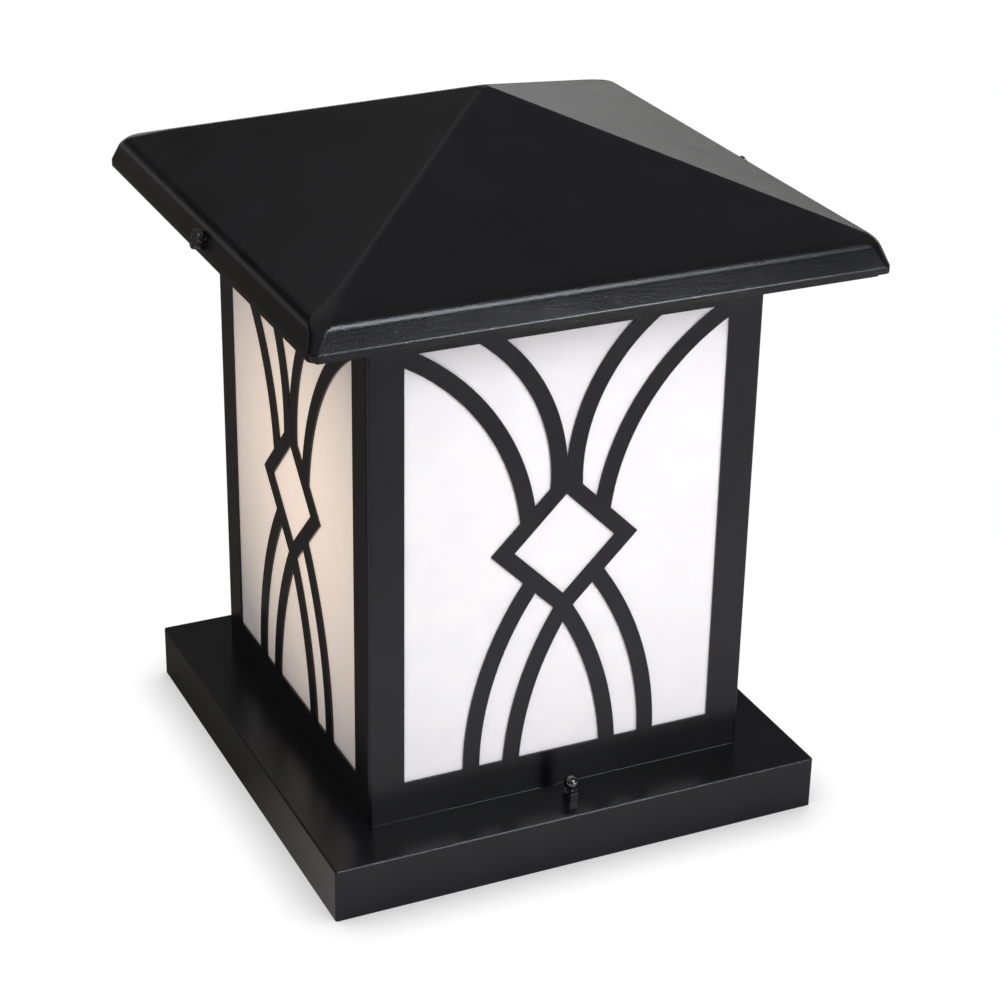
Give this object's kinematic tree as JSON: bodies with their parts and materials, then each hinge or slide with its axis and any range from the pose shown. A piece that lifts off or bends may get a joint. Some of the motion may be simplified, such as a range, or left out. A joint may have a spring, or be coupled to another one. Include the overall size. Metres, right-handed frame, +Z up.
{
  "type": "pier mount lantern",
  "caption": "Square sheet-steel pier lantern with laser-cut fretwork sides over opal panes, a hipped lift-off roof held by thumbscrews, and a base pan that bolts over a flat bracket.",
  "frame": {"origin": "centre of the base pan's underside, where the lantern stands on its pier", "axes": "+Z up; the front panel, with the front cap nut before it, faces -Y; the thumbscrews are on the -X and +X sides"},
  "size_m": [0.3156, 0.306, 0.3821],
  "materials": {
    "black_powder_coat": "satin, fine orange peel",
    "black_primer": "matt",
    "black_hardware": "gloss",
    "zinc_steel": "zinc plated",
    "green_screw": "satin",
    "opal_glass": "opal, satin face",
    "bulb_white": "opal, satin",
    "white_porcelain": "glazed",
    "shell_brass": "satin",
    "cap_nickel": "satin",
    "bushing_rubber": "matt",
    "black_insulation": "satin",
    "white_insulation": "satin",
    "green_insulation": "satin"
  },
  "bodies": {
    "lantern": {"base_pan": "black_powder_coat", "wire_bushing": "bushing_rubber", "mounting_bracket": "zinc_steel", "mounting_studs": "zinc_steel", "stud_locknuts": "zinc_steel", "ground_screw": "green_screw", "ground_lead": "green_insulation", "front_panel": "black_powder_coat", "rear_panel": "black_powder_coat", "left_panel": "black_powder_coat", "right_panel": "black_powder_coat", "front_left_angle": "black_primer", "front_right_angle": "black_primer", "rear_left_angle": "black_primer", "rear_right_angle": "black_primer", "front_diffuser": "opal_glass", "rear_diffuser": "opal_glass", "left_diffuser": "opal_glass", "right_diffuser": "opal_glass", "diffuser_clips": "zinc_steel", "eave_tray": "black_powder_coat", "lamp_bracket": "zinc_steel", "bracket_screws": "zinc_steel", "nipple": "zinc_steel", "nipple_nut": "zinc_steel", "lampholder": "white_porcelain", "screw_shell": "shell_brass", "centre_contact": "shell_brass", "line_lead": "black_insulation", "neutral_lead": "white_insulation"},
    "roof": {"roof_cap": "black_powder_coat", "clinch_nuts": "zinc_steel"},
    "left_screw": {"left_thumbscrew": "black_hardware"},
    "right_screw": {"right_thumbscrew": "black_hardware"},
    "lamp": {"bulb_cap": "cap_nickel", "bulb_glass": "bulb_white"},
    "front_nut": {"front_cap_nut": "black_hardware"},
    "rear_nut": {"rear_cap_nut": "black_hardware"}
  },
  "joints": [
    {"name": "roof_lift", "type": "slide", "parent": "lantern", "child": "roof", "axis": [0, 0, 1], "range_m": [0, 0.08]},
    {"name": "left_screw_turn", "type": "hinge", "parent": "roof", "child": "left_screw", "pos_m": [-0.15185, 0, 0.3205], "axis": [-0.9551, 0, 0.2962], "continuous": true},
    {"name": "right_screw_turn", "type": "hinge", "parent": "roof", "child": "right_screw", "pos_m": [0.15185, 0, 0.3205], "axis": [0.9551, 0, 0.2962], "continuous": true},
    {"name": "lamp_turn", "type": "hinge", "parent": "lantern", "child": "lamp", "pos_m": [0, 0, 0.08], "axis": [0, 0, 1], "continuous": true},
    {"name": "front_nut_turn", "type": "hinge", "parent": "lantern", "child": "front_nut", "pos_m": [0, -0.1235, 0.03], "axis": [0, 0, 1], "continuous": true},
    {"name": "rear_nut_turn", "type": "hinge", "parent": "lantern", "child": "rear_nut", "pos_m": [0, 0.1235, 0.03], "axis": [0, 0, 1], "continuous": true}
  ]
}
